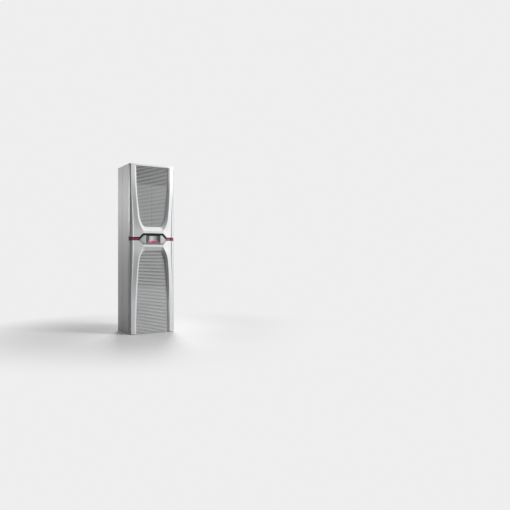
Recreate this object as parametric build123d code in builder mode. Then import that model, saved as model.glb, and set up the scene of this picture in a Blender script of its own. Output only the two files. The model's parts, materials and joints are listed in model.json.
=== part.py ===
# Enclosure air conditioner: a tall cooling unit for the wall of an electrical enclosure.
# Millimetres, +Z up, X across the front, the front faces -Y.
# The origin is the middle of the footprint, on the floor.
import math
import os

from build123d import *

os.makedirs("parts", exist_ok=True)

# Overall size
width = 450.0
depth = 393.0
height = 1600.0
waist_z = 896.5
floor_gap = 4.0
fit = 0.3

# Moulded covers, in plan: a chamfer at each side, then a slanted band up to the rim of the opening.
# The covers bow forward towards the waist.
cover_wall = 3.0
chamfer_in = 17.5
chamfer_deep = 21.0
reveal = 4.0
bow = 26.0
bow_end = 5.0
bow_reach = 600.0

# A lens-shaped facet runs down each edge of the covers, widest at the waist
facet_in = 15.0
facet_rise = 9.0
facet_reach = 500.0
facet_least = 0.04
step_in = 7.5
step_drop = 6.0

# Shares of the wall by which the hollow's plan moves in, sideways and back, at two of its corners
wall_at_edge = (0.7, 0.6)
wall_at_crest = (0.5, 0.9)

# Half-width of the flat front at distances from the waist; it stays just inside the rim
front_flat = [(0, 100), (76, 100), (90, 101), (104, 109), (124, 119), (144, 130), (174, 139), (214, 145),
              (254, 149), (294, 153), (334, 156), (414, 161), (494, 166), (574, 168), (900, 168)]
section_steps = [13.5, 53, 76, 90, 104, 124, 144, 174, 214, 254, 294, 334, 374, 414, 454, 494, 534, 574, 602]

# Curved openings: inner x and distance from the waist at the grille, then the same for the rim in front.
# The bend next to the waist keeps its size, and the rest is stretched to the cover's length.
upper_shape = [(72, 117.5, 90, 74.5), (86, 122.5, 101, 82.5), (95, 132.5, 112, 98.5),
               (103, 144.5, 126, 125.5), (114, 173.5, 143, 165.5), (124, 213.5, 150, 210.5),
               (129.5, 253.5, 154, 251.5), (134, 293.5, 158, 291.5), (139.5, 333.5, 161, 331.5),
               (145, 393.5, 165, 392.5), (150, 453.5, 169, 453.5), (154, 533.5, 172, 533.5),
               (156, 603.5, 173.5, 603.5), (157, 683.5, 174, 690.5)]
lower_shape = [(72, 118.5, 90, 75.5), (88, 122.5, 102, 83.5), (99, 131.5, 113, 99.5),
               (108, 142.5, 126, 123.5), (118, 168.5, 139, 161.5), (126, 206.5, 147.5, 204.5),
               (130.5, 246.5, 152, 245.5), (135.5, 296.5, 156, 296.5), (141.5, 396.5, 161, 396.5),
               (150, 546.5, 166, 546.5), (155, 696.5, 171, 696.5), (158, 796.5, 173, 796.5),
               (159, 906.5, 174, 906.5)]
bend_reach = 213.5
upper_reach = 703.5
lower_reach = 896.5
grille_back = 5.0
cut_ahead = 9.0

# Waist: a hexagonal recess for the display, with a groove that runs out of it on each side
recess_height = 106.0
recess_flat_half = 100.0
recess_point_half = 135.0
recess_upright = 32.5
core_set_back = 12.0
stripe_set_back = 5.0
stripe_low = 1.0
stripe_shadow = 8.0
surround_set_back = 2.0
surround_shadow = 20.0
surround_gap = 3.3
surround_slit = 6.0
plateau_edge = 4.0
plateau_corner = 3.0
swell_out = 0.55
swell_deep = 0.3
screen_half = 70.0
screen_low = -41.5
screen_high = 33.0
screen_edge = 3.0
screen_frame = 4.0
screen_thick = 3.0
screen_sunk = 0.8

# Louvre grilles, each with the height of its first slat above the opening's lower end
upper_pitch = 13.02
upper_first = 10.46
lower_pitch = 13.625
lower_first = 3.465
slat_thick = 2.2
slat_depth = 10.0
slat_drop = 6.0
slat_anchor = 3.0
grille_depth = 12.0
grille_margin = 8.0

# Behind the grilles: a filter where air passes, and a light sheet elsewhere, in two halves above
filter_thick = 5.0
backing_thick = 2.0
backing_seam = 4.0
upper_air_from_top = 190.0
lower_air_z = 440.0

# Casing
sheet = 2.0
flange = 16.0
joint_from_rear = 154.0
joint_gap = 3.0
joint_recess = 3.0
ring_wall = 24.0
tray_lip = 18.0
frame_edge_in = 5.0
window_half = 192.0
window_edge = 10.0
window_bar = 50.0

# Rear face
rear_skin = 3.0
opening_width = 300.0
inlet_height = 220.0
outlet_height = 160.0
inlet_from_top = 270.0
outlet_z = 210.0
guard_bar = 3.0
guard_pitch = 20.0
guard_rim = 12.0
bolt_x = 370.0
bolt_edge = 80.0
bolt_inner_edge = 560.0
bolt_hole_r = 4.2
insert_r = 7.5
hexagon_sides = 6
insert_length = 16.0
insert_end = 2.0
gasket_width = 14.0
gasket_thick = 4.0
gasket_in = 8.0
socket_width = 96.0
socket_height = 26.0
socket_deep = 30.0
socket_from_top = 500.0
socket_wall = 3.0
spout_r = 8.0
spout_bore_r = 6.0
spout_z = 60.0
spout_length = 24.0

# Lifting nuts in the top
nut_corner_r = 13.0
nut_deep = 20.0
nut_bore_r = 5.1
nut_x = 300.0

# Derived places
half = width / 2
front_y = -depth / 2
chamfer_y = front_y + bow
cover_back_y = chamfer_y + chamfer_deep
case_y = cover_back_y + reveal
grille_y = chamfer_y + grille_back
gasket_y = depth / 2
rear_y = gasket_y - gasket_thick
joint_y = depth / 2 - joint_from_rear
recess_top = waist_z + recess_height / 2
recess_bottom = waist_z - recess_height / 2
groove_top = waist_z + recess_upright / 2
groove_bottom = waist_z - recess_upright / 2
upper_air_z = height - upper_air_from_top
socket_z = height - socket_from_top


def placed_opening(shape, direction, length, drawn_length):
    """The rows of an opening with heights in place of distances from the waist."""
    stretch = (length - bend_reach) / (drawn_length - bend_reach)

    def place(distance):
        """A height: the bend as drawn, and what lies beyond it stretched."""
        beyond = max(0.0, distance - bend_reach)
        return waist_z + direction * (distance - beyond + beyond * stretch)

    return [(x, place(d), rim_x, place(rim_d)) for x, d, rim_x, rim_d in shape]


upper_opening = placed_opening(upper_shape, 1, height - waist_z, upper_reach)
lower_opening = placed_opening(lower_shape, -1, waist_z, lower_reach)


def finish(piece, name):
    """Name a finished piece and write its STEP file."""
    piece.part.label = name
    export_step(piece.part, "parts/" + name + ".step")


def front_plane(y):
    """A sketch plane that faces the front at depth y, local x to the right and local y up."""
    return Plane(origin=(0, y, 0), x_dir=(1, 0, 0), z_dir=(0, -1, 0))


def plate(x0, x1, y0, y1, z0, z1, mode=Mode.ADD):
    """A block between two corners, given in any order."""
    with Locations(((x0 + x1) / 2, (y0 + y1) / 2, (z0 + z1) / 2)):
        Box(abs(x1 - x0), abs(y1 - y0), abs(z1 - z0), mode=mode)


def ease(distance, reach, least=0.0):
    """One at the waist, falling along a parabola to nothing at reach."""
    return max(least, 1 - (distance / reach) ** 2)


def read_table(table, at):
    """Straight-line reading of a table of pairs."""
    for (a0, b0), (a1, b1) in zip(table, table[1:]):
        if a0 <= at <= a1:
            return b0 + (b1 - b0) * (at - a0) / (a1 - a0)
    return table[-1][1]


def rise(z):
    """How far the flat front stands in front of the chamfer's edge at height z."""
    beyond = max(0.0, abs(z - waist_z) - recess_height / 2)
    return bow_end + (bow - bow_end) * ease(beyond, bow_reach - recess_height / 2)


def cover_section(z, inset, back_y):
    """Plan of a cover at height z, moved in by inset and closed at back_y."""
    share = ease(abs(z - waist_z), facet_reach, facet_least)
    edge_x = half - chamfer_in
    crest_x = edge_x - facet_in * share
    crest_y = chamfer_y - facet_rise * share
    right = [(half - inset, back_y),
             (edge_x - inset * wall_at_edge[0], chamfer_y + inset * wall_at_edge[1]),
             (crest_x - inset * wall_at_crest[0], crest_y + inset * wall_at_crest[1]),
             (crest_x - step_in * share - inset * wall_at_crest[0],
              crest_y + step_drop * share + inset),
             (read_table(front_flat, abs(z - waist_z)), chamfer_y - rise(z) + inset)]
    left = [(-x, y) for x, y in reversed(right)]
    with BuildSketch() as plan:
        with BuildLine():
            Polyline(*right, *left, close=True)
        make_face()
    return plan.sketch


def recess_outline(grow):
    """The hexagon of the display recess, with short upright ends."""
    top = recess_height / 2 + grow
    point = recess_point_half + grow
    flat = recess_flat_half + grow / 2
    upright = recess_upright / 2
    with BuildSketch() as hexagon:
        with BuildLine():
            Polyline((-point, waist_z - upright), (-flat, waist_z - top), (flat, waist_z - top),
                     (point, waist_z - upright), (point, waist_z + upright), (flat, waist_z + top),
                     (-flat, waist_z + top), (-point, waist_z + upright), close=True)
        make_face()
    return hexagon.sketch


# A curved opening is a closed outline: a curve up each side and a straight line at each end
def closed_outline(points, run=Spline):
    """Sketch between a curve, or straight runs, through the points and its mirror image."""
    mirrored = [(-x, z) for x, z in points]
    with BuildSketch() as outline:
        with BuildLine():
            run(*points)
            Line(points[-1], mirrored[-1])
            run(*reversed(mirrored))
            Line(mirrored[0], points[0])
        make_face()
    return outline.sketch


def inner_outline(opening, grow, grow_end, run=Spline):
    """The opening at the grille, grown sideways and towards the waist, and at its far end."""
    out = 1 if opening[-1][1] > opening[0][1] else -1
    points = [(x + grow, z - out * grow) for x, z, rim_x, rim_z in opening[:-1]]
    points.append((opening[-1][0] + grow, opening[-1][1] + out * grow_end))
    return closed_outline(points, run)


def ahead_outline(opening, grow, grow_end):
    """The bevel carried on in a straight line to a plane in front of the covers."""
    out = 1 if opening[-1][1] > opening[0][1] else -1
    reach = grille_back + bow + cut_ahead
    points = []
    for x, z, rim_x, rim_z in opening:
        share = reach / (grille_back + rise(rim_z))
        points.append((x + (rim_x - x) * share + grow, z + (rim_z - z) * share - out * grow))
    points[-1] = (points[-1][0], points[-1][1] + out * (grow + grow_end))
    return closed_outline(points)


# The bevelled opening as a solid that is taken out of a cover
def opening_tool(opening, grow, grow_end):
    """A funnel from the front back to the grille."""
    with BuildPart() as tool:
        with BuildSketch(front_plane(grille_y)):
            add(inner_outline(opening, grow, grow_end))
        with BuildSketch(front_plane(front_y - cut_ahead)):
            add(ahead_outline(opening, grow, grow_end))
        loft(ruled=True)
    return tool.part


def cover_heights(z_low, z_high):
    """Heights of the plans that a cover is lofted through."""
    steps = [waist_z + d for d in section_steps] + [waist_z - d for d in section_steps]
    inside = [z for z in sorted(steps) if z_low < z < z_high]
    return [z_low] + inside + [z_high]


def cover_body(z_low, z_high, inset, back_y):
    """A cover without its opening."""
    with BuildPart() as body:
        for z in cover_heights(z_low, z_high):
            with BuildSketch(Plane.XY.offset(z)):
                add(cover_section(z, inset, back_y))
        loft(ruled=True)
    return body.part


# A moulded cover: a bowed shell, its opening with a bevelled collar, and half of the display recess
def moulded_cover(opening, z_low, z_high, end_wall):
    """One cover between two heights."""
    with BuildPart() as pocket:
        add(cover_body(z_low + cover_wall, z_high - cover_wall, cover_wall, cover_back_y + cover_wall))
        add(opening_tool(opening, cover_wall, end_wall), mode=Mode.SUBTRACT)
        with BuildSketch(front_plane(front_y)):
            add(recess_outline(cover_wall))
        extrude(amount=-depth / 2, mode=Mode.SUBTRACT)
    with BuildPart() as shell:
        add(cover_body(z_low, z_high, 0, cover_back_y))
        add(pocket.part, mode=Mode.SUBTRACT)
        add(opening_tool(opening, 0, 0), mode=Mode.SUBTRACT)
        with BuildSketch(front_plane(front_y)):
            add(recess_outline(0))
        extrude(amount=-depth / 2, mode=Mode.SUBTRACT)
    return shell.part


with BuildPart() as upper_cover:
    add(moulded_cover(upper_opening, groove_top, height, cover_wall))
finish(upper_cover, "upper_cover")

with BuildPart() as lower_cover:
    add(moulded_cover(lower_opening, floor_gap, groove_bottom, 0))
    notch = lower_opening[-1][0] + grille_margin + fit
    plate(-notch, notch, grille_y, cover_back_y, 0, floor_gap + cover_wall, mode=Mode.SUBTRACT)
finish(lower_cover, "lower_cover")


# Louvre grilles: a rim behind the collar of the cover and a row of slats that slope down to the front
def louvre_grille(opening, first, high, end_room, pitch):
    """A grille that closes an opening from behind, its slats from the first one's height up."""
    back = grille_y + fit
    with BuildPart() as panel:
        with BuildSketch(Plane.YZ.offset(-half)):
            z = first
            while z + slat_drop / 2 + slat_thick < high:
                with BuildLine():
                    Polyline((back, z - slat_drop / 2), (back + slat_depth, z + slat_drop / 2),
                             (back + slat_depth, z + slat_drop / 2 + slat_thick),
                             (back, z - slat_drop / 2 + slat_thick), close=True)
                make_face()
                z += pitch
        extrude(amount=width)
        with BuildSketch(front_plane(back)):
            add(inner_outline(opening, slat_anchor, end_room))
        extrude(amount=-grille_depth, mode=Mode.INTERSECT)
        with BuildSketch(front_plane(back)):
            add(inner_outline(opening, grille_margin, end_room, Polyline))
            add(inner_outline(opening, 0, min(0, end_room)), mode=Mode.SUBTRACT)
        extrude(amount=-grille_depth)
    return panel


upper_grille = louvre_grille(upper_opening, upper_opening[0][1] + upper_first, upper_opening[-1][1],
                             grille_margin, upper_pitch)
finish(upper_grille, "upper_grille")

bottom_room = lower_opening[-1][1] - floor_gap
lower_grille = louvre_grille(lower_opening, floor_gap + lower_first, lower_opening[0][1],
                             bottom_room, lower_pitch)
finish(lower_grille, "lower_grille")


# Filter mats and light backing sheets behind the grilles
def layer_behind(opening, end_room, thick, x0, x1, z0, z1):
    """A flat layer behind a grille, kept to a block between x0 and x1 and between z0 and z1."""
    with BuildPart() as layer:
        with BuildSketch(front_plane(grille_y + grille_depth + 2 * fit)):
            add(inner_outline(opening, grille_margin, end_room, Polyline))
            with Locations(((x0 + x1) / 2, (z0 + z1) / 2)):
                Rectangle(x1 - x0, z1 - z0, mode=Mode.INTERSECT)
        extrude(amount=-thick)
    return layer


upper_filter = layer_behind(upper_opening, grille_margin, filter_thick, -half, half,
                            upper_air_z + fit, height)
finish(upper_filter, "upper_filter")

lower_filter = layer_behind(lower_opening, bottom_room, filter_thick, -half, half,
                            lower_air_z + fit, groove_bottom)
finish(lower_filter, "lower_filter")

upper_left_backing = layer_behind(upper_opening, grille_margin, backing_thick, -half,
                                  -backing_seam / 2, groove_top, upper_air_z)
finish(upper_left_backing, "upper_left_backing")

upper_right_backing = layer_behind(upper_opening, grille_margin, backing_thick,
                                   backing_seam / 2, half, groove_top, upper_air_z)
finish(upper_right_backing, "upper_right_backing")

lower_backing = layer_behind(lower_opening, bottom_room, backing_thick, -half, half,
                             0, lower_air_z)
finish(lower_backing, "lower_backing")


# Waist core: the black block behind the groove and the recess, seen as a shadow line
def groove_ring(z0, z1, set_back):
    """The plan of the covers at the waist, set back, between two heights."""
    with BuildPart() as ring:
        with BuildSketch(Plane.XY.offset(z0)):
            add(cover_section(waist_z, set_back, cover_back_y))
        extrude(amount=z1 - z0)
    return ring.part


with BuildPart() as waist_core:
    add(groove_ring(groove_bottom + fit, groove_top - fit, core_set_back))
    with BuildSketch(front_plane(chamfer_y - bow + core_set_back)):
        add(recess_outline(-fit))
    extrude(amount=-(bow - core_set_back + chamfer_deep))
    with BuildSketch(front_plane(chamfer_y - bow + core_set_back)):
        with Locations((0, waist_z + (screen_low + screen_high) / 2)):
            Rectangle(2 * screen_half + 2 * fit, screen_high - screen_low + 2 * fit)
    extrude(amount=-(screen_thick + screen_frame + fit), mode=Mode.SUBTRACT)
finish(waist_core, "waist_core")


# The stripe: a coloured strip on the core, wrapped round each front corner
def waist_stripe(side):
    """The stripe of one side, -1 for the left and 1 for the right."""
    z0 = groove_bottom + stripe_low
    z1 = groove_top - stripe_shadow
    with BuildPart() as stripe:
        add(groove_ring(z0, z1, stripe_set_back))
        add(groove_ring(z0, z1, core_set_back - fit), mode=Mode.SUBTRACT)
        cut = (recess_point_half + fit) * side
        plate(-half * side, cut, front_y, cover_back_y, z0, z1, mode=Mode.SUBTRACT)
    return stripe


left_stripe = waist_stripe(-1)
finish(left_stripe, "left_stripe")
right_stripe = waist_stripe(1)
finish(right_stripe, "right_stripe")

# Display surround: a bump that swells from the edges of the recess to a flat top round the screen
rim_y = chamfer_y - bow + surround_set_back
floor_y = chamfer_y - bow + core_set_back - fit
surround_top = recess_top - surround_shadow
screen_bottom = waist_z + screen_low
screen_top = waist_z + screen_high


def slant_shift(gap):
    """How far a slanted edge of the recess moves sideways when it moves inwards by a gap."""
    return gap * math.hypot(slant_run, slant_fall) / slant_fall


def eight_corners(x_end, z_low, z_high, low_x, high_x):
    """An eight-sided outline whose corners are cut at the slant of the recess."""
    z_end_low = z_low + (x_end - low_x) / slant_run * slant_fall
    z_end_high = z_high - (x_end - high_x) / slant_run * slant_fall
    return [(-x_end, z_end_low), (-low_x, z_low), (low_x, z_low), (x_end, z_end_low),
            (x_end, z_end_high), (high_x, z_high), (-high_x, z_high), (-x_end, z_end_high)]


def between(inner, outer, share):
    """The outline at a share of the way from one outline to another."""
    return [(x0 + (x1 - x0) * share, z0 + (z1 - z0) * share)
            for (x0, z0), (x1, z1) in zip(inner, outer)]


slant_run = recess_point_half - recess_flat_half
slant_fall = recess_top - groove_top
foot_low = recess_bottom + surround_slit
foot_low_x = recess_flat_half + surround_slit * slant_run / slant_fall - slant_shift(surround_gap)
foot_high_x = recess_flat_half + surround_shadow * slant_run / slant_fall - slant_shift(surround_shadow)
foot = eight_corners(recess_point_half - surround_gap, foot_low, surround_top, foot_low_x, foot_high_x)
plateau_x = screen_half + plateau_edge
flat_x = plateau_x - plateau_corner
plateau = eight_corners(plateau_x, screen_bottom - plateau_edge, screen_top - fit, flat_x, flat_x)
swell_y = rim_y + (floor_y - rim_y) * swell_deep
with BuildPart() as display_surround:
    swell = between(plateau, foot, swell_out)
    ConvexPolyhedron([(x, y, z) for outline, y in ((foot, floor_y), (swell, swell_y), (plateau, rim_y))
                      for x, z in outline])
    plate(-screen_half - fit, screen_half + fit, rim_y, floor_y, screen_bottom - fit, surround_top + fit,
          mode=Mode.SUBTRACT)
finish(display_surround, "display_surround")

# The screen: a dark frame that stands in the core and fills the surround, and a glass in its front
screen_y = rim_y + screen_sunk
with BuildPart() as display_frame:
    plate(-screen_half, screen_half, screen_y, floor_y + fit + screen_thick + screen_frame,
          screen_bottom, screen_top)
    plate(-screen_half + screen_edge, screen_half - screen_edge, screen_y, screen_y + screen_thick,
          screen_bottom + screen_edge, screen_top - screen_edge, mode=Mode.SUBTRACT)
finish(display_frame, "display_frame")

with BuildPart() as display_glass:
    edge = screen_edge + fit
    plate(-screen_half + edge, screen_half - edge, screen_y, screen_y + screen_thick - fit,
          screen_bottom + edge, screen_top - edge)
finish(display_glass, "display_glass")

# Front frame: the plate that carries the covers, with two windows for the air
with BuildPart() as front_frame:
    edge_x = half - frame_edge_in
    plate(-edge_x, edge_x, cover_back_y + fit, case_y - fit, floor_gap, height - frame_edge_in)
    plate(-window_half, window_half, cover_back_y, case_y, 0, recess_bottom - window_bar,
          mode=Mode.SUBTRACT)
    plate(-window_half, window_half, cover_back_y, case_y, recess_top + window_bar,
          height - window_edge, mode=Mode.SUBTRACT)
finish(front_frame, "front_frame")


# Side sheets: two on each side, folded in at their edges
def side_sheet(side, y0, y1):
    """A folded side sheet, -1 for the left and 1 for the right."""
    outer = side * half
    with BuildPart() as wall:
        plate(outer, outer - side * sheet, y0, y1, 0, height)
        for y in (y0, y1 - sheet):
            plate(outer, outer - side * flange, y, y + sheet, sheet + fit, height - sheet - fit)
    return wall


front_part = (case_y, joint_y - joint_gap / 2)
rear_part = (joint_y + joint_gap / 2, rear_y)
for name, side, span in (("front_left_side", -1, front_part), ("front_right_side", 1, front_part),
                         ("rear_left_side", -1, rear_part), ("rear_right_side", 1, rear_part)):
    finish(side_sheet(side, *span), name)


# Top and base trays between the side sheets, each with a lip along the front and the back
def tray(y0, y1, face_z, inward):
    """A tray whose outer face is at face_z; inward is -1 for a top and 1 for a base."""
    reach = half - sheet - fit
    lip_half = half - flange - fit
    with BuildPart() as pan:
        plate(-reach, reach, y0, y1, face_z, face_z + inward * sheet)
        for y in (y0, y1 - sheet):
            plate(-lip_half, lip_half, y, y + sheet, face_z, face_z + inward * tray_lip)
    return pan


finish(tray(*front_part, 0, 1), "front_base")
finish(tray(*rear_part, 0, 1), "rear_base")
finish(tray(*rear_part, height, -1), "rear_top")

# The front top carries two lifting nuts
nut_y = (case_y + joint_y) / 2
with BuildPart() as front_top:
    add(tray(*front_part, height, -1).part)
    with BuildSketch(Plane.XY.offset(height)):
        with Locations((-nut_x / 2, nut_y), (nut_x / 2, nut_y)):
            RegularPolygon(nut_corner_r + fit, hexagon_sides)
    extrude(amount=-sheet, mode=Mode.SUBTRACT)
finish(front_top, "front_top")

for name, x in (("left_lifting_nut", -nut_x / 2), ("right_lifting_nut", nut_x / 2)):
    with BuildPart() as nut:
        with BuildSketch(Plane.XY.offset(height)):
            with Locations((x, nut_y)):
                RegularPolygon(nut_corner_r, hexagon_sides)
        extrude(amount=-nut_deep)
        with BuildSketch(Plane.XY.offset(height)):
            with Locations((x, nut_y)):
                Circle(nut_bore_r)
        extrude(amount=-(nut_deep - sheet), mode=Mode.SUBTRACT)
    finish(nut, name)

# Middle frame: a ring clamped between the front and rear casings, seen in the joint line
with BuildPart() as middle_frame:
    ring = half - joint_recess
    thin = joint_gap / 2 - fit
    plate(-ring, ring, joint_y - thin, joint_y + thin, joint_recess, height - joint_recess)
    plate(-ring + ring_wall, ring - ring_wall, joint_y - thin, joint_y + thin,
          joint_recess + ring_wall, height - joint_recess - ring_wall, mode=Mode.SUBTRACT)
finish(middle_frame, "middle_frame")

# Rear panel: two air openings, eight blind threaded inserts, a socket opening and a drain hole
inlet_z = height - inlet_from_top
bolt_heights = (bolt_edge, bolt_inner_edge, height - bolt_inner_edge, height - bolt_edge)
bolt_places = [(x, z) for x in (-bolt_x / 2, bolt_x / 2) for z in bolt_heights]
with BuildPart() as rear_panel:
    reach = half - flange - fit
    plate(-reach, reach, rear_y - rear_skin, rear_y, tray_lip + fit, height - tray_lip - fit)
    for z, tall in ((inlet_z, inlet_height), (outlet_z, outlet_height)):
        plate(-opening_width / 2, opening_width / 2, rear_y - rear_skin, rear_y,
              z - tall / 2, z + tall / 2, mode=Mode.SUBTRACT)
    plate(-socket_width / 2 - fit, socket_width / 2 + fit, rear_y - rear_skin, rear_y,
          socket_z - socket_height / 2 - fit, socket_z + socket_height / 2 + fit, mode=Mode.SUBTRACT)
    with BuildSketch(front_plane(rear_y)):
        with Locations((0, spout_z)):
            Circle(spout_r + fit)
    extrude(amount=rear_skin, mode=Mode.SUBTRACT)
    with BuildSketch(front_plane(rear_y - rear_skin)):
        with Locations(*bolt_places):
            RegularPolygon(insert_r, hexagon_sides)
    extrude(amount=insert_length)
    with BuildSketch(front_plane(rear_y)):
        with Locations(*bolt_places):
            Circle(bolt_hole_r)
    extrude(amount=rear_skin + insert_length - insert_end, mode=Mode.SUBTRACT)
finish(rear_panel, "rear_panel")


# Guards over the two rear openings: a rim on the panel's inner face and crossing bars
def air_guard(mid_z, tall):
    """A bar guard behind one rear opening."""
    wide = opening_width / 2 + guard_rim
    high = tall / 2 + guard_rim
    y1 = rear_y - rear_skin - fit
    y0 = y1 - guard_bar
    count = int(opening_width / guard_pitch)
    with BuildPart() as guard:
        plate(-wide, wide, y0, y1, mid_z - high, mid_z + high)
        plate(-wide + guard_rim, wide - guard_rim, y0, y1, mid_z - tall / 2, mid_z + tall / 2,
              mode=Mode.SUBTRACT)
        for i in range(count):
            x = (i - (count - 1) / 2) * guard_pitch
            plate(x - guard_bar / 2, x + guard_bar / 2, y0, y1, mid_z - tall / 2, mid_z + tall / 2)
        plate(-wide + guard_rim, wide - guard_rim, y0, y1, mid_z - guard_bar / 2, mid_z + guard_bar / 2)
    return guard


finish(air_guard(inlet_z, inlet_height), "rear_inlet_guard")
finish(air_guard(outlet_z, outlet_height), "rear_outlet_guard")

# Power socket in the rear panel: a shallow black box with an open mouth
with BuildPart() as power_socket:
    plate(-socket_width / 2, socket_width / 2, rear_y - socket_deep, rear_y,
          socket_z - socket_height / 2, socket_z + socket_height / 2)
    plate(-socket_width / 2 + socket_wall, socket_width / 2 - socket_wall,
          rear_y - socket_deep + socket_wall, rear_y,
          socket_z - socket_height / 2 + socket_wall, socket_z + socket_height / 2 - socket_wall,
          mode=Mode.SUBTRACT)
finish(power_socket, "power_socket")

# Drain spout for condensate
with BuildPart() as drain_spout:
    with BuildSketch(front_plane(rear_y)):
        with Locations((0, spout_z)):
            Circle(spout_r)
            Circle(spout_bore_r, mode=Mode.SUBTRACT)
    extrude(amount=spout_length)
finish(drain_spout, "drain_spout")

# Sealing gasket round the rear face
with BuildPart() as rear_gasket:
    wide = half - gasket_in
    plate(-wide, wide, rear_y, gasket_y, gasket_in, height - gasket_in)
    plate(-wide + gasket_width, wide - gasket_width, rear_y, gasket_y,
          gasket_in + gasket_width, height - gasket_in - gasket_width, mode=Mode.SUBTRACT)
finish(rear_gasket, "rear_gasket")
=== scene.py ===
# %% [markdown]
# # An enclosure air conditioner
# This lesson dresses a finished CAD model of a tall cooling unit: a sheet-metal casing, two bowed
# plastic covers, two louvre grilles and a small display in a hexagonal recess at the waist.
# The CAD model is loaded first and never moved. Blender works in metres, +Z is up and the front faces -Y.
# The sizes of pieces are written in millimetres, as on a drawing, and MM turns them into metres. The
# camera, the lights, the floor and the heights in a finish are given in metres.

# %% Load the imported model
import json
import math

import bmesh
import bpy
from mathutils import Matrix, Vector


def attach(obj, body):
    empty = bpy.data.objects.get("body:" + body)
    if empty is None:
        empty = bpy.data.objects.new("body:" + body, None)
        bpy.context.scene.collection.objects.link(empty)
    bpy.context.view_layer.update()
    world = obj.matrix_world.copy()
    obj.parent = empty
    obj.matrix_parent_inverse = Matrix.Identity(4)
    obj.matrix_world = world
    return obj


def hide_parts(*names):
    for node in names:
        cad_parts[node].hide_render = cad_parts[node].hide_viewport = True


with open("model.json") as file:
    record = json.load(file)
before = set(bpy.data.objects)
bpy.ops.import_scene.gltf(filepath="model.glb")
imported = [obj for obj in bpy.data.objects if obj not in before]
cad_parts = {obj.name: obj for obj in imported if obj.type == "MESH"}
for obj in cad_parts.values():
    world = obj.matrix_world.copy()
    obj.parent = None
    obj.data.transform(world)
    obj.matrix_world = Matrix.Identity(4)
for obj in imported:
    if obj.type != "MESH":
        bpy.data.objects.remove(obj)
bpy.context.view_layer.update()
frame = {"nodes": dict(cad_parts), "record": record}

MM = 0.001

nodes = frame["nodes"]

# %% [markdown]
# ## Camera
# A camera can be placed by eye, but a fit to the photograph's edges is more exact. It gave a place about
# 5 m from the unit, 0.74 m above the floor, level, and turned 31 degrees to the right. The focal length
# is known in pixels of the picture, and the sensor's width turns it into millimetres. The unit stands
# left of the middle, and no lens shift is needed.

# %% Camera
IMAGE_WIDTH = 510.0
SENSOR_WIDTH = 36.0
FOCAL_PIXELS = 519.5
CAMERA_PLACE = (-1.7055, -4.9146, 0.744)
CAMERA_TURN = math.radians(-30.94)

camera_data = bpy.data.cameras.new("camera")
camera_data.sensor_width = SENSOR_WIDTH
camera_data.lens = SENSOR_WIDTH * FOCAL_PIXELS / IMAGE_WIDTH
camera = bpy.data.objects.new("camera", camera_data)
camera.location = CAMERA_PLACE
camera.rotation_euler = (math.radians(90), 0, CAMERA_TURN)
bpy.context.collection.objects.link(camera)
bpy.context.scene.camera = camera
print("lens:", round(camera_data.lens, 2), "mm")

# %% [markdown]
# ## Nodes and their sockets
# The floor, the world and every finish are node trees. Each node could be added and linked by hand, but
# that takes many lines that look alike. These helpers add a node with its inputs set by name, and link a
# socket where a socket is given.

# %% Nodes and their sockets
def node_tree(name):
    """An empty node material; returns the material and its tree."""
    material = bpy.data.materials.new(name)
    material.use_nodes = True
    tree = material.node_tree
    tree.nodes.clear()
    return material, tree


def put(tree, socket, value):
    """Link a socket to an input, or set the input to a number or a colour."""
    if isinstance(value, bpy.types.NodeSocket):
        tree.links.new(value, socket)
    elif isinstance(value, tuple):
        socket.default_value = (*value, 1)
    else:
        socket.default_value = value


def add_node(tree, kind, **values):
    """A node with its inputs put by name; what isn't an input is set as a property of the node."""
    node = tree.nodes.new(kind)
    for key, value in values.items():
        if key in node.inputs:
            put(tree, node.inputs[key], value)
        else:
            setattr(node, key, value)
    return node


print("node helpers ready for", bpy.app.version_string)

# %% [markdown]
# ## Steps that come back
# A finish is made of a few kinds of step: a sum, a value that is stretched to another range, two colours
# or two shaders that are blended. They could be kept as node groups, but a plain function for each is
# shorter to read, and it adds only the node that the step needs.

# %% Steps that come back
def arithmetic(tree, operation, *values):
    """One step of arithmetic; returns its result."""
    step = add_node(tree, "ShaderNodeMath", operation=operation)
    for socket, value in zip(step.inputs, values):
        put(tree, socket, value)
    return step.outputs[0]


def scale_to(tree, value, low, high, to_low=0.0, to_high=1.0):
    """Stretch a value from one range to another, held at the ends."""
    stretch = tree.nodes.new("ShaderNodeMapRange")
    for socket, number in zip(stretch.inputs, (value, low, high, to_low, to_high)):
        put(tree, socket, number)
    return stretch.outputs[0]


def blend_colors(tree, share, first, second):
    """The first colour where the share is nothing and the second where it is one."""
    mix = add_node(tree, "ShaderNodeMix", data_type="RGBA")
    # A mix node has a set of inputs for each kind of data; the colours are the seventh and eighth.
    for index, value in ((0, share), (6, first), (7, second)):
        put(tree, mix.inputs[index], value)
    return mix.outputs[2]


def mix_shaders(tree, share, first, second):
    """The first shader where the share is nothing and the second where it is one."""
    mix = tree.nodes.new("ShaderNodeMixShader")
    for socket, value in zip(mix.inputs, (share, first.outputs[0], second.outputs[0])):
        put(tree, socket, value)
    return mix


def send_out(tree, shader, kind="ShaderNodeOutputMaterial"):
    """Link a shader to a new output node."""
    tree.links.new(shader.outputs[0], tree.nodes.new(kind).inputs[0])


print("steps:", [step.__name__ for step in (arithmetic, scale_to, blend_colors, mix_shaders, send_out)])

# %% [markdown]
# ## The floor
# The floor is a wide sheet of pale paper. Close to the unit it is real paper and takes its shadow.
# Further out it turns into the same pale tone as the world, so no horizon shows. A paler floor could be
# had with more light, but that would also fall on the unit. So a Light Path node shows the pale tone
# only to the camera, to mirrors and through glass, and what the floor throws onto the unit is set apart
# and is much darker.

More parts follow.
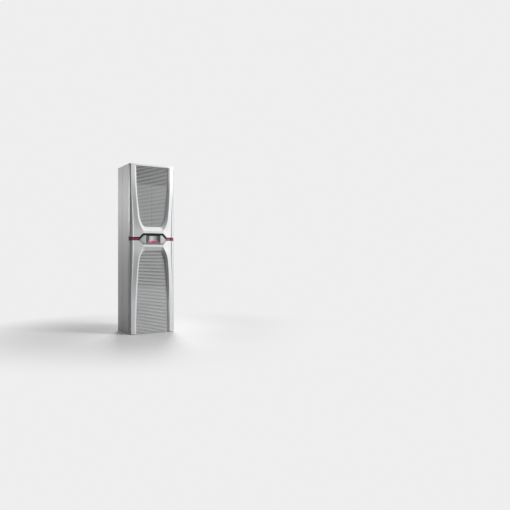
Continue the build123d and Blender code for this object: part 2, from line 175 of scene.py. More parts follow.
# %% Floor
PAPER = (0.86, 0.86, 0.87)
PAPER_NEAR = (0.60, 0.60, 0.605)
PAPER_BOUNCE = (0.07, 0.07, 0.072)
PAPER_ROUGHNESS = 0.6
FLOOR_HALF = 60.0
FADE_START = 0.5
FADE_END = 2.0


def seen_or_mirrored(tree):
    """One for rays from the camera, from a mirror and through glass; nothing for light on surfaces."""
    path = tree.nodes.new("ShaderNodeLightPath").outputs
    seen = arithmetic(tree, "MAXIMUM", path["Is Camera Ray"], path["Is Glossy Ray"])
    return arithmetic(tree, "MAXIMUM", seen, path["Is Transmission Ray"])


def paper_finish():
    """Paper near the unit, which fades into the tone of the world further out."""
    material, tree = node_tree("floor_paper")
    lights_things = tree.nodes.new("ShaderNodeLightPath").outputs["Is Diffuse Ray"]
    color = blend_colors(tree, lights_things, PAPER_NEAR, PAPER_BOUNCE)
    paper = add_node(tree, "ShaderNodeBsdfPrincipled", Roughness=PAPER_ROUGHNESS, **{"Base Color": color})
    glow = add_node(tree, "ShaderNodeEmission", Color=PAPER, Strength=1.0)
    place = tree.nodes.new("ShaderNodeTexCoord").outputs["Object"]
    distance = add_node(tree, "ShaderNodeVectorMath", operation="LENGTH", Vector=place).outputs["Value"]
    fade = add_node(tree, "ShaderNodeMapRange", interpolation_type="SMOOTHSTEP", Value=distance,
                    **{"From Min": FADE_START, "From Max": FADE_END})
    share = arithmetic(tree, "MULTIPLY", fade.outputs[0], seen_or_mirrored(tree))
    send_out(tree, mix_shaders(tree, share, paper, glow))
    return material


def make_floor():
    """A wide pale plane that the unit stands on."""
    mesh = bpy.data.meshes.new("floor")
    bm = bmesh.new()
    bmesh.ops.create_grid(bm, x_segments=1, y_segments=1, size=FLOOR_HALF)
    bm.to_mesh(mesh)
    bm.free()
    mesh.materials.append(paper_finish())
    floor = bpy.data.objects.new("floor", mesh)
    bpy.context.collection.objects.link(floor)


make_floor()
print("floor:", 2 * FLOOR_HALF, "m wide, pale from", FADE_END, "m outwards")

# %% [markdown]
# ## The world
# The world is the pale tone behind the floor, and it is also a very soft lamp that lights the unit from
# all sides. One strength for both would either leave the ground grey or wash out the shading of the
# slats. So it has two, and the same helper that the floor uses tells them apart.

# %% World
WORLD_LIGHT = 0.10


def make_world():
    """A world that lights the unit at one level and is seen and mirrored at another."""
    world = bpy.data.worlds.new("studio")
    world.use_nodes = True
    tree = world.node_tree
    tree.nodes.clear()
    lit = add_node(tree, "ShaderNodeBackground", Color=PAPER, Strength=WORLD_LIGHT)
    seen = add_node(tree, "ShaderNodeBackground", Color=PAPER, Strength=1.0)
    send_out(tree, mix_shaders(tree, seen_or_mirrored(tree), lit, seen), "ShaderNodeOutputWorld")
    bpy.context.scene.world = world


make_world()
print("world lights at", WORLD_LIGHT, "and is seen at 1.0")

# %% [markdown]
# ## The lights
# All lights are soft boxes, as in a photographer's studio. Point lamps are simpler, but they leave hard
# shadows and small hot glints on gloss. The main box is high and to the front right, because in the
# photograph the flanks that face right shine and the bevels that face left are in shade. A weak one from
# the front keeps the slanted bands on the left pale. A small narrow one grazes the left side sheet from
# behind, so that it goes from light grey at the top to dark grey at the floor. The last two light the
# top and the back. Weak lights keep nearly all of the pale mouldings below white.

# %% Lights
SOFT_BOXES = [
    # name, place, what it looks at, width and height in metres, watts, spread in degrees
    ("key", (2.79, -3.08, 2.2), (0, 0, 0.9), (1.2, 1.8), 190, 180),
    ("front_fill", (0.2, -4.4, 1.3), (0, 0, 0.8), (1.4, 1.4), 8, 180),
    ("left_rear", (-2.2, 2.6, 1.58), (-0.2, 0, 1.31), (0.6, 0.9), 5.9, 72),
    ("top", (0.3, -0.6, 4.2), (0, 0, 1.0), (1.2, 1.2), 39, 180),
    ("rear_fill", (1.6, 3.8, 2.4), (0, 0, 0.8), (1.6, 1.6), 90, 180),
]


def soft_box(name, place, target, size, power, spread):
    """A rectangular soft box that looks at a point."""
    data = bpy.data.lights.new(name, "AREA")
    data.shape = "RECTANGLE"
    data.size, data.size_y = size
    data.energy = power
    data.spread = math.radians(spread)
    light = bpy.data.objects.new(name, data)
    light.location = place
    light.rotation_euler = (Vector(target) - Vector(place)).to_track_quat("-Z", "Y").to_euler()
    light.visible_camera = False
    bpy.context.collection.objects.link(light)


for row in SOFT_BOXES:
    soft_box(*row)

bpy.context.scene.view_settings.view_transform = "Standard"

# %% [markdown]
# ## How a finish is made
# Moulded plastic and powder coat differ from flat paint in three ways: a fine orange-peel skin, a slow
# change of tone, and a little dust low down. An image of each would show its seams and its pixels close
# up. Noise on Object coordinates has neither, its grain is in real millimetres and it stays put on the
# piece. So one function makes every finish, and the rows further down give only what differs.

# %% A finish
DUST = (0.33, 0.31, 0.28)
DUST_HIGH = 0.16
DUST_CLOUD_MM = 28
DUST_THIN, DUST_THICK = 0.35, 0.7
DARK_AT, LIGHT_AT = 0.3, 0.7
SLOW_DETAIL, FINE_DETAIL, CLOUD_DETAIL = 3.0, 2.0, 5.0
GRAIN_STRENGTH = 0.5


def noise(tree, place, size_mm, detail):
    """A cloudy value whose clouds are about this many millimetres wide."""
    clouds = add_node(tree, "ShaderNodeTexNoise", Vector=place, Scale=1 / (size_mm * MM), Detail=detail)
    return clouds.outputs["Fac"]


def with_dust(tree, place, skin, most):
    """The skin's colour with patches of dust that thicken towards the floor."""
    height = add_node(tree, "ShaderNodeSeparateXYZ", Vector=place).outputs[2]
    clouds = noise(tree, place, DUST_CLOUD_MM, CLOUD_DETAIL)
    settled = arithmetic(tree, "MULTIPLY", scale_to(tree, height, DUST_HIGH, 0.0, 0.0, most),
                         scale_to(tree, clouds, DUST_THIN, DUST_THICK))
    return blend_colors(tree, settled, skin, DUST)


def surface(name, color, roughness, grain_mm, grain_height, change, change_mm=400.0,
            rough_change=0.0, dust=0.0, **sockets):
    """A finish with a slow change of tone, a fine skin and dust near the floor, in real millimetres."""
    material, tree = node_tree(name)
    place = tree.nodes.new("ShaderNodeTexCoord").outputs["Object"]
    slow = noise(tree, place, change_mm, SLOW_DETAIL)
    ramp = add_node(tree, "ShaderNodeValToRGB", Fac=slow)
    dark, light = ramp.color_ramp.elements
    dark.position, light.position = DARK_AT, LIGHT_AT
    dark.color = (*(c * (1 - change) for c in color), 1)
    light.color = (*(min(1.0, c * (1 + change)) for c in color), 1)
    skin = with_dust(tree, place, ramp.outputs[0], dust) if dust else ramp.outputs[0]
    if rough_change:
        roughness = scale_to(tree, slow, 0.0, 1.0, roughness - rough_change, roughness + rough_change)
    bump = add_node(tree, "ShaderNodeBump", Height=noise(tree, place, grain_mm, FINE_DETAIL),
                    Distance=grain_height * MM, Strength=GRAIN_STRENGTH)
    sockets.update({"Base Color": skin, "Roughness": roughness, "Normal": bump.outputs[0]})
    send_out(tree, add_node(tree, "ShaderNodeBsdfPrincipled", **sockets))
    return material


print("dust reaches", DUST_HIGH, "m up")

# %% [markdown]
# ## The tones of the screen
# The screen shows a plain picture behind glass: two dark columns, a light field that fades to the right
# and a magenta wave in two layers low down. Its tones are set beside the photograph, so they are
# written as they look on a screen, and one small function turns them into linear colours. A row of
# tones could be several mixes in a chain, but one colour ramp holds them all.

# %% Screen tones
FIELD_TONES = [(0.0, (170, 172, 171)), (0.3, (204, 206, 205)), (0.5, (180, 182, 181)),
               (0.75, (140, 143, 142)), (1.0, (98, 100, 99))]
COLUMN_TONES = [(0.0, (84, 86, 86)), (1.0, (66, 68, 68))]
FOOT_TONE = (118, 106, 110)
EDGE_TONE = (40, 42, 41)
PINK_TONES = [(0.0, (225, 150, 178)), (0.14, (255, 212, 228)), (0.4, (240, 175, 198)),
              (0.65, (200, 122, 148)), (1.0, (160, 95, 118))]
DEEP_TONES = [(0.0, (186, 112, 140)), (0.2, (200, 132, 156)), (0.45, (166, 84, 114)),
              (1.0, (156, 88, 112))]


def tone(red, green, blue):
    """The linear colour of a tone that is given as it looks on a screen, from 0 to 255."""
    return tuple((c / 255 / 12.92) if c < 10 else ((c / 255 + 0.055) / 1.055) ** 2.4
                 for c in (red, green, blue))


def color_row(tree, at, stops):
    """A row of tones along a value from nothing to one."""
    ramp = add_node(tree, "ShaderNodeValToRGB", Fac=at)
    elements = ramp.color_ramp.elements
    while len(elements) < len(stops):
        elements.new(0.5)
    # The places come first, because a ramp sorts its stops by place.
    for element, stop in zip(elements, stops):
        element.position = stop[0]
    for element, stop in zip(elements, stops):
        element.color = (*tone(*stop[1]), 1)
    return ramp.outputs[0]


print("the foot's tone as a linear colour:", [round(c, 3) for c in tone(*FOOT_TONE)])

# %% [markdown]
# ## The screen's picture
# The picture could be an image on the glass. Drawn by arithmetic on x and z it needs no file and no map,
# it stays sharp, and every size in it is a millimetre on the real screen. The field is laid over the
# columns, then the two waves over the field, and last the dark upper edge.

# %% Screen picture
SCREEN_MIDDLE = 0.8923
SCREEN_ROUGHNESS = 0.12
FIELD_HALF = 39.5
SOFT = 1.0
FOOT_START, FOOT_FULL = -25.0, -27.0
EDGE_START, EDGE_FULL = 31.0, 31.6
WAVE_SOFT = 0.8
WAVE_FULL, WAVE_GONE = FIELD_HALF + 2, FIELD_HALF + 8
WAVES = [
    # tones from left to right, then the crest, height, length and start of the wave
    (PINK_TONES, -7.5, 3.0, 11.0, 0.4),
    (DEEP_TONES, -15.0, 2.5, 16.0, 2.2),
]


def screen_picture():
    """The picture behind the glass, with the gloss of the glass over it."""
    material, tree = node_tree("screen_picture")
    place = tree.nodes.new("ShaderNodeTexCoord").outputs["Object"]
    split = add_node(tree, "ShaderNodeSeparateXYZ", Vector=place)
    x = arithmetic(tree, "MULTIPLY", split.outputs[0], 1 / MM)
    above_middle = arithmetic(tree, "SUBTRACT", split.outputs[2], SCREEN_MIDDLE)
    z = arithmetic(tree, "MULTIPLY", above_middle, 1 / MM)
    across = scale_to(tree, x, -FIELD_HALF, FIELD_HALF)
    from_middle = arithmetic(tree, "ABSOLUTE", x)

    columns = color_row(tree, scale_to(tree, x, -SOFT, SOFT), COLUMN_TONES)
    foot = scale_to(tree, z, FOOT_START, FOOT_FULL)
    columns = blend_colors(tree, foot, columns, tone(*FOOT_TONE))
    in_field = scale_to(tree, from_middle, FIELD_HALF + SOFT, FIELD_HALF - SOFT)
    picture = blend_colors(tree, in_field, columns, color_row(tree, across, FIELD_TONES))

    in_wave = scale_to(tree, from_middle, WAVE_GONE, WAVE_FULL)
    for stops, crest, height, length, start in WAVES:
        swing = arithmetic(tree, "SINE", arithmetic(tree, "MULTIPLY_ADD", x, 1 / length, start))
        crest_line = arithmetic(tree, "MULTIPLY_ADD", swing, height, crest)
        below = scale_to(tree, arithmetic(tree, "SUBTRACT", z, crest_line), WAVE_SOFT, -WAVE_SOFT)
        share = arithmetic(tree, "MULTIPLY", below, in_wave)
        picture = blend_colors(tree, share, picture, color_row(tree, across, stops))

    picture = blend_colors(tree, scale_to(tree, z, EDGE_START, EDGE_FULL), picture, tone(*EDGE_TONE))
    send_out(tree, add_node(tree, "ShaderNodeBsdfPrincipled", Roughness=SCREEN_ROUGHNESS,
                            **{"Base Color": picture}))
    return material


print("screen field:", 2 * FIELD_HALF, "mm wide")

# %% [markdown]
# ## All the finishes
# The covers are a pale moulding with a soft gloss. The casing is powder coated and has a stronger
# orange peel. The slats are a duller moulding. Filters and foam are rough and mottled, and the screws
# are zinc plated. Each finish could be a tree of its own. Apart from the screen they differ only in
# numbers, so each is one row of a table. The slats of the upper grille and the sheets behind them get
# darker copies of their finishes, which is painted shade for the shade in the upper grille. A node's
# mesh stays as it is, and only the material in its slot is replaced.

# %% All finishes
finishes = {
    # name, colour, roughness, grain in mm, its height in mm, change of tone, and its size in mm
    # The surround is a grey moulding, and its tone is also darkened as painted shade for the deep recess
    # round the screen.
    "surround_plastic": surface("surround_moulding_and_painted_shade", (0.42, 0.425, 0.43), 0.32, 1.4, 0.01, 0.015),
    "light_plastic": surface("cover_moulding", (0.66, 0.665, 0.67), 0.36, 1.6, 0.012, 0.015,
                             rough_change=0.03, dust=0.1),
    "grey_paint": surface("powder_coat", (0.50, 0.505, 0.51), 0.42, 1.1, 0.03, 0.02,
                          rough_change=0.04, dust=0.18),
    # Painted shade: darker copies of the powder coat and the grille moulding, for the shade in the upper
    # grille.
    "backing_sheet_painted_shade": surface("backing_sheet_painted_shade", (0.30, 0.303, 0.306), 0.45, 1.1, 0.02, 0.03),
    "upper_slats_painted_shade": surface("upper_slats_painted_shade", (0.50, 0.505, 0.51), 0.42, 1.2, 0.01, 0.02),
    "grille_plastic": surface("grille_moulding", (0.60, 0.605, 0.61), 0.42, 1.2, 0.01, 0.02, dust=0.2),
    "dark_steel": surface("dark_coat", (0.055, 0.057, 0.06), 0.45, 1.0, 0.02, 0.05),
    "stripe_plastic": surface("stripe_moulding", (0.22, 0.022, 0.06), 0.25, 1.0, 0.005, 0.03),
    # The black moulding is also painted shade: the black band under the upper cover's lower edge, over
    # the recess and along the grooves' tops stands for the shadow there.
    "black_plastic": surface("black_moulding_and_painted_shade", (0.006, 0.006, 0.0065), 0.5, 0.9, 0.01, 0.05,
                             **{"Specular IOR Level": 0.14}),
    "screen_glass": screen_picture(),
    "filter_mat": surface("filter_fleece", (0.035, 0.035, 0.036), 0.9, 0.8, 0.25, 0.2, 30.0),
    "seal_rubber": surface("foam_seal", (0.02, 0.02, 0.02), 0.85, 0.6, 0.12, 0.15, 25.0),
    "zinc_steel": surface("zinc_plate", (0.55, 0.56, 0.57), 0.32, 0.5, 0.01, 0.06, 20.0, Metallic=1.0),
}

# The upper grille's slats and backing sheets take the darker copies, as painted shade.
UPPER_GRILLE_PAINTED_SHADE = {"upper_grille": "upper_slats_painted_shade", "upper_left_backing": "backing_sheet_painted_shade",
                   "upper_right_backing": "backing_sheet_painted_shade"}
slot_of = {row["node"]: row["material_slot"] for row in frame["record"]["subparts"]}
for name, thing in nodes.items():
    thing.data.materials.clear()
    thing.data.materials.append(finishes[UPPER_GRILLE_PAINTED_SHADE.get(name, slot_of[name])])
print("finishes:", sorted(finishes))

# %% [markdown]
# ## Sizes of the covers
# The covers are one bowed skin each. Its plan is a chamfer at the side, a lens-shaped facet with a small
# step, and a slanted band up to the flat front. All of these swell towards the waist. They could be
# read back from the CAD mesh, but its triangles follow the cuts and not the form. So the few sizes that
# make the form are repeated here as in the CAD model, in millimetres.

# %% Cover sizes
HALF_WIDTH = 225.0
HEIGHT = 1600.0
WAIST = 896.5
FRONT_Y = -196.5
BOW = 26.0
BOW_END = 5.0
BOW_REACH = 600.0
CHAMFER_IN = 17.5
CHAMFER_DEEP = 21.0
FACET_IN = 15.0
FACET_RISE = 9.0
FACET_REACH = 500.0
FACET_LEAST = 0.04
STEP_IN = 7.5
STEP_DROP = 6.0
RECESS_HALF_TALL = 53.0
CHAMFER_Y = FRONT_Y + BOW
COVER_BACK_Y = CHAMFER_Y + CHAMFER_DEEP
EDGE_X = HALF_WIDTH - CHAMFER_IN

# How far the flat front reaches from the middle, against the distance from the waist.
FRONT_FLAT = [(0, 100), (76, 100), (90, 101), (104, 109), (124, 119), (144, 130), (174, 139), (214, 145),
              (254, 149), (294, 153), (334, 156), (414, 161), (494, 166), (574, 168), (900, 168)]
print("chamfer's edge at x", EDGE_X, "and y", CHAMFER_Y)

# %% [markdown]
# ## The height field of the covers
# A bowed front could be a flat sheet that is bent by a lattice, but then no size would be exact. The
# skin is written as a height field instead: for each place on the front, how far forward the moulding
# stands. It is read from the plan at that height. The band and the rim take their points from it, and
# the strip at the side takes them from the plan.

# %% Height field
def ease(distance, reach, least=0.0):
    """One at the waist, falling along a parabola to nothing at reach."""
    return max(least, 1 - (distance / reach) ** 2)


def read_table(table, at):
    """Straight-line reading of a table of pairs."""
    for (a0, b0), (a1, b1) in zip(table, table[1:]):
        if a0 <= at <= a1:
            return b0 + (b1 - b0) * (at - a0) / (a1 - a0)
    return table[-1][1]


def rise(z):
    """How far the flat front stands in front of the chamfer's edge at height z."""
    beyond = max(0.0, abs(z - WAIST) - RECESS_HALF_TALL)
    return BOW_END + (BOW - BOW_END) * ease(beyond, BOW_REACH - RECESS_HALF_TALL)


def plan_points(z):
    """The plan of the front at height z: flat edge, step, crest, chamfer's edge and side, as (x, y)."""
    share = ease(abs(z - WAIST), FACET_REACH, FACET_LEAST)
    crest_x = EDGE_X - FACET_IN * share
    crest_y = CHAMFER_Y - FACET_RISE * share
    return [(read_table(FRONT_FLAT, abs(z - WAIST)), CHAMFER_Y - rise(z)),
            (crest_x - STEP_IN * share, crest_y + STEP_DROP * share),
            (crest_x, crest_y), (EDGE_X, CHAMFER_Y), (HALF_WIDTH, COVER_BACK_Y)]


def step_at(z):
    """How far from the middle the facet's step is at height z."""
    return plan_points(z)[1][0]


def front_at(x, z):
    """The height field: y of the moulding at x and z, both in millimetres."""
    plan = plan_points(z)
    if x <= plan[0][0]:
        return plan[0][1]
    return read_table(plan, x)


print("front at the waist:", front_at(0, WAIST), "and near the top:", round(front_at(0, 1590), 1))

# %% [markdown]
# ## The openings' edges
# Each opening is a curve: narrow at the waist and wider towards the far end, with a bevel that runs from
# the rim back to the grille. A row of the table gives a place on the grille's edge and where the bevel
# would meet the flat front. The rim itself is where that bevel meets the height field. It could be found
# by an intersection of meshes. Halving the bevel's line gives the same place and keeps the rows in order.

# %% Openings
GRILLE_BACK = 5.0
GRILLE_Y = CHAMFER_Y + GRILLE_BACK
UPPER_OPENING = [(72, 1014, 90, 971), (86, 1019, 101, 979), (95, 1029, 112, 995), (103, 1041, 126, 1022),
                 (114, 1070, 143, 1062), (124, 1110, 150, 1107), (129.5, 1150, 154, 1148),
                 (134, 1190, 158, 1188), (139.5, 1230, 161, 1228), (145, 1290, 165, 1289),
                 (150, 1350, 169, 1350), (154, 1430, 172, 1430), (156, 1500, 173.5, 1500),
                 (157, 1580, 174, 1587)]
LOWER_OPENING = [(72, 778, 90, 821), (88, 774, 102, 813), (99, 765, 113, 797), (108, 754, 126, 773),
                 (118, 728, 139, 735), (126, 690, 147.5, 692), (130.5, 650, 152, 651),
                 (135.5, 600, 156, 600), (141.5, 500, 161, 500), (150, 350, 166, 350),
                 (155, 200, 171, 200), (158, 100, 173, 100), (159, 4, 174, 4)]
HALVINGS = 30
PAST_THE_RIM = 1.2


def smooth_row(table, t):
    """The row at place t of the table, on a smooth curve that runs through all of its rows."""
    i = min(int(t), len(table) - 2)
    f = t - i
    a, b, c, d = (table[min(max(k, 0), len(table) - 1)] for k in (i - 1, i, i + 1, i + 2))
    return [0.5 * (2 * q + (r - p) * f + (2 * p - 5 * q + 4 * r - s) * f ** 2
                   + (3 * q - p - 3 * r + s) * f ** 3) for p, q, r, s in zip(a, b, c, d)]


def bevel_point(row, s):
    """The point (x, y, z) at share s of the bevel's line."""
    x, z, rim_x, rim_z = row
    return (x + (rim_x - x) * s, GRILLE_Y - (GRILLE_BACK + rise(rim_z)) * s, z + (rim_z - z) * s)


def rim_share(row):
    """How far along the bevel's line it meets the height field, by halving."""
    low, high = 0.0, PAST_THE_RIM
    for _ in range(HALVINGS):
        middle = (low + high) / 2
        x, y, z = bevel_point(row, middle)
        if y > front_at(x, z):
            low = middle
        else:
            high = middle
    return low


print("rim share half-way up:", round(rim_share(UPPER_OPENING[8]), 3))

# %% [markdown]
# ## Where the spokes of a cover end
# The skin is made of two grids for each half. The first runs in spokes from the grille's edge over the
# bevel and the band to an outer path. A flat sheet with the opening cut by a boolean would be shorter to
# write, but it leaves long thin faces. A grid keeps the faces in neat rows, so the edges can be rounded
# cleanly. The outer path goes round the recess, along the groove and up or down the facet's step.

# %% Outer path
RECESS_FLAT = 100.0
RECESS_POINT = 135.0
GROOVE_HALF = 16.25

# The rows of an opening's table whose spokes end at the recess's corner, at its point and at the step.
CORNER_ROW = 1.0
POINT_ROW = 2.5
STEP_ROW = 4


def outer_point(direction, t, rows, end_z):
    """Where the spoke of table place t ends on the path round the recess, groove and step."""
    top = WAIST + direction * RECESS_HALF_TALL
    groove = WAIST + direction * GROOVE_HALF
    path = [(CORNER_ROW, RECESS_FLAT, top), (POINT_ROW, RECESS_POINT, groove),
            (STEP_ROW, step_at(groove), groove)]
    for (t0, x0, z0), (t1, x1, z1) in zip(path, path[1:]):
        if t0 <= t <= t1:
            f = (t - t0) / (t1 - t0)
            return x0 + (x1 - x0) * f, z0 + (z1 - z0) * f
    if t < CORNER_ROW:
        first = RECESS_FLAT * rows[0][2] / rows[1][2]
        return first + (RECESS_FLAT - first) * t, top
    rim_first, rim_last = rows[STEP_ROW][3], rows[-1][3]
    share = (smooth_row(rows, t)[3] - rim_first) / (rim_last - rim_first)
    z = groove + (end_z - groove) * share
    return step_at(z), z


print("first point of the upper path:", outer_point(1, 0, UPPER_OPENING, HEIGHT))

# %% [markdown]
# ## The spokes of a cover
# A spoke has a few points on the bevel and a few on the band, between two ends that are given. Spokes
# could stand at equal angles, but then they would miss the corners of the rim. So each row of the
# opening's table has one, with more between them. Where the opening ends in a straight edge, at the
# waist and at the top, the spokes step sideways to the middle.

# %% Spokes
BEVEL_STEPS = 4
BAND_STEPS = 6
SPOKES_PER_ROW = 5
CENTRE_SPOKES = 8


def spoke(row, outer):
    """The points of one spoke, from the grille's edge to the outer path."""
    share = rim_share(row)
    points = [bevel_point(row, share * k / BEVEL_STEPS) for k in range(BEVEL_STEPS + 1)]
    rim = points[-1]
    for k in range(1, BAND_STEPS + 1):
        f = k / BAND_STEPS
        x = rim[0] + (outer[0] - rim[0]) * f
        z = rim[2] + (outer[1] - rim[2]) * f
        points.append((x, front_at(x, z), z))
    return points


def nearer_middle(row, outer, share):
    """A spoke whose ends are moved towards the middle, with their heights kept."""
    x, z, rim_x, rim_z = row
    return spoke((x * share, z, rim_x * share, rim_z), (outer[0] * share, outer[1]))


def cover_spokes(rows, direction, end_z, closed_end):
    """All spokes of one half, from the middle of the waist end to the middle of the far end."""
    first_outer = outer_point(direction, 0, rows, end_z)
    spokes = [nearer_middle(rows[0], first_outer, k / CENTRE_SPOKES) for k in range(CENTRE_SPOKES)]
    for k in range((len(rows) - 1) * SPOKES_PER_ROW + 1):
        t = k / SPOKES_PER_ROW
        spokes.append(spoke(smooth_row(rows, t), outer_point(direction, t, rows, end_z)))
    if closed_end:
        last_outer = (step_at(end_z), end_z)
        spokes += [nearer_middle(rows[-1], last_outer, 1 - k / CENTRE_SPOKES)
                   for k in range(1, CENTRE_SPOKES + 1)]
    return spokes


print("points in a spoke:", BEVEL_STEPS + 1 + BAND_STEPS)

# %% [markdown]
# ## The strip at the side
# The second grid is the strip from the facet's step over the crest and the chamfer to the side of the
# unit. The spokes could run on to the side, but then the crest would cut across the faces. Lines at the
# same heights as the ends of the spokes keep the crest on an edge, and the two grids join point to
# point.

# %% Side strip
def side_strip(rows, direction, end_z):
    """The strip from the step over the crest and chamfer to the side, one line per spoke beside it."""
    lines = []
    for k in range(STEP_ROW * SPOKES_PER_ROW, (len(rows) - 1) * SPOKES_PER_ROW + 1):
        z = outer_point(direction, k / SPOKES_PER_ROW, rows, end_z)[1]
        lines.append([(x, y, z) for x, y in plan_points(z)[1:]])
    return lines


print("lines in the upper strip:", len(side_strip(UPPER_OPENING, 1, HEIGHT)))

# %% [markdown]
# ## From a mesh to a piece
# Every finished piece is handled in the same way: its object sits at the origin, it rides on the unit,
# and it names the finish that it takes. Sharp edges could be rounded in the mesh. A bevel modifier does
# it later, so the mesh itself stays simple and one call serves all pieces. A weld takes away what a
# bevel leaves where two roundings meet on a thin sheet, and weighted normals keep the flats flat.

# %% Pieces and rounded edges
WELD_MM = 0.01


def piece_from(bm, name, finish_name):
    """Turn a bmesh into a finished object at the origin that rides on the unit."""
    mesh = bpy.data.meshes.new(name)
    bm.to_mesh(mesh)
    bm.free()
    thing = bpy.data.objects.new(name, mesh)
    bpy.context.collection.objects.link(thing)
    mesh.materials.append(finishes[finish_name])
    mesh.polygons.foreach_set("use_smooth", [True] * len(mesh.polygons))
    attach(thing, "root")
    return thing


def round_edges(thing, width_mm, segments, degrees):
    """Round the edges that are sharper than an angle, then shade flats flat and roundings round."""
    bevel = thing.modifiers.new("rounding", "BEVEL")
    bevel.width = width_mm * MM
    bevel.segments = segments
    bevel.limit_method = "ANGLE"
    bevel.angle_limit = math.radians(degrees)
    bevel.use_clamp_overlap = True
    bevel.harden_normals = False
    weld = thing.modifiers.new("weld", "WELD")
    weld.merge_threshold = WELD_MM * MM
    weighted = thing.modifiers.new("weighted_normals", "WEIGHTED_NORMAL")
    weighted.keep_sharp = False


print("a finished piece rides on root; welded under", WELD_MM, "mm")

# %% [markdown]
# ## The covers
# A cover is a thin moulding. It could be a solid block that is hollowed out, but a skin that gets its
# wall at the end keeps one thickness everywhere, as a mould gives it. One half is drawn and mirrored,
# because both halves are alike. The free edges round the recess, the groove and the ends are folded
# straight back to the depth of the cover's own edge. The edges at the grille and at the side stay open
# until the wall closes them.

# %% Covers
FLOOR_GAP = 4.0
JOIN_MM = 0.02
HAIR_MM = 0.01
COVER_ROUNDING = 1.2
COVER_SEGMENTS = 3
COVER_ANGLE = 25
COVER_WALL = 2.6


def add_grid(bm, lines):
    """A grid whose rows are the given lines of points, in millimetres."""
    made = bmesh.ops.create_grid(bm, x_segments=len(lines[0]) - 1, y_segments=len(lines) - 1, size=1)
    flat = [point for line in lines for point in line]
    for vert, point in zip(made["verts"], flat):
        vert.co = Vector(point) * MM


def free_edges(bm):
    """The open edges that are neither on the side of the unit nor on the grille's collar."""
    side = (HALF_WIDTH - HAIR_MM) * MM
    collar = (GRILLE_Y - HAIR_MM) * MM
    return [e for e in bm.edges if e.is_boundary
            and not all(abs(v.co.x) > side for v in e.verts)
            and not all(v.co.y > collar and abs(v.co.x) < EDGE_X * MM for v in e.verts)]


def make_cover(name, rows, end_z, closed_end, node):
    """A whole cover: both grids, mirrored, with walls folded back and the thickness of the moulding."""
    direction = 1 if end_z > WAIST else -1
    bm = bmesh.new()
    add_grid(bm, cover_spokes(rows, direction, end_z, closed_end))
    add_grid(bm, side_strip(rows, direction, end_z))
    bmesh.ops.remove_doubles(bm, verts=bm.verts, dist=JOIN_MM * MM)
    bmesh.ops.mirror(bm, geom=bm.verts[:] + bm.edges[:] + bm.faces[:], axis="X",
                     merge_dist=JOIN_MM * MM)
    bmesh.ops.recalc_face_normals(bm, faces=bm.faces)
    made = bmesh.ops.extrude_edge_only(bm, edges=free_edges(bm))
    for vert in (g for g in made["geom"] if isinstance(g, bmesh.types.BMVert)):
        vert.co.y = COVER_BACK_Y * MM
    bmesh.ops.remove_doubles(bm, verts=bm.verts, dist=JOIN_MM * MM)
    bmesh.ops.recalc_face_normals(bm, faces=bm.faces)
    cover = piece_from(bm, name, "light_plastic")
    if sum(p.normal.y * p.area for p in cover.data.polygons) > 0:
        cover.data.flip_normals()
    round_edges(cover, COVER_ROUNDING, COVER_SEGMENTS, COVER_ANGLE)
    wall = cover.modifiers.new("wall", "SOLIDIFY")
    wall.thickness = COVER_WALL * MM
    wall.offset = -1
    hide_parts(node)
    print(name, "faces:", len(cover.data.polygons))


make_cover("upper_cover_moulding", UPPER_OPENING, HEIGHT, True, "upper_cover")
make_cover("lower_cover_moulding", LOWER_OPENING, FLOOR_GAP, False, "lower_cover")

# %% [markdown]
# ## Rounded sheet edges
# A folded sheet or a moulding has no knife edges: each edge is round by a millimetre or so and catches a
# thin line of light. The roundings could be made in the CAD model, but there they would give every
# solid many more facets. A CAD node keeps its mesh, so a copy is made. Its loose triangles are merged
# and its flat triangles joined to whole faces, and then a bevel rounds the sharp edges.

# %% Rounded copies of the casing and the small mouldings
COPY_JOIN_MM = 0.005
COPY_FLAT_ANGLE = 0.5
COPY_SEGMENTS = 2
COPY_ANGLE = 30

# The piece that stands for each node, and the width of its roundings in millimetres.
ROUNDED = {
    "front_left_side": ("front_left_side_sheet", 1.5),
    "front_right_side": ("front_right_side_sheet", 1.5),
    "rear_left_side": ("rear_left_side_sheet", 1.5),
    "rear_right_side": ("rear_right_side_sheet", 1.5),
    "front_top": ("front_top_sheet", 1.2),
    "rear_top": ("rear_top_sheet", 1.2),
    "front_base": ("front_base_sheet", 1.2),
    "rear_base": ("rear_base_sheet", 1.2),
    "rear_panel": ("rear_panel_sheet", 0.8),
    "rear_gasket": ("rear_gasket_foam", 1.4),
    "display_surround": ("display_surround_moulding", 0.9),
    "display_frame": ("display_frame_moulding", 0.6),
    "left_stripe": ("left_stripe_moulding", 0.8),
    "right_stripe": ("right_stripe_moulding", 0.8),
    "power_socket": ("power_socket_housing", 0.6),
    "left_lifting_nut": ("left_lifting_nut_steel", 0.8),
    "right_lifting_nut": ("right_lifting_nut_steel", 0.8),
    "drain_spout": ("drain_spout_tube", 0.5),
}


def rounded_copy(node, name, width_mm):
    """A copy of a node's mesh with rounded edges, which stands for the node."""
    bm = bmesh.new()
    bm.from_mesh(nodes[node].data)
    bmesh.ops.remove_doubles(bm, verts=bm.verts, dist=COPY_JOIN_MM * MM)
    bmesh.ops.dissolve_limit(bm, angle_limit=math.radians(COPY_FLAT_ANGLE), verts=bm.verts,
                             edges=bm.edges)
    copy = piece_from(bm, name, slot_of[node])
    round_edges(copy, width_mm, COPY_SEGMENTS, COPY_ANGLE)
    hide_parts(node)


for node, (name, width) in ROUNDED.items():
    rounded_copy(node, name, width)
print("rounded:", len(ROUNDED), "pieces")

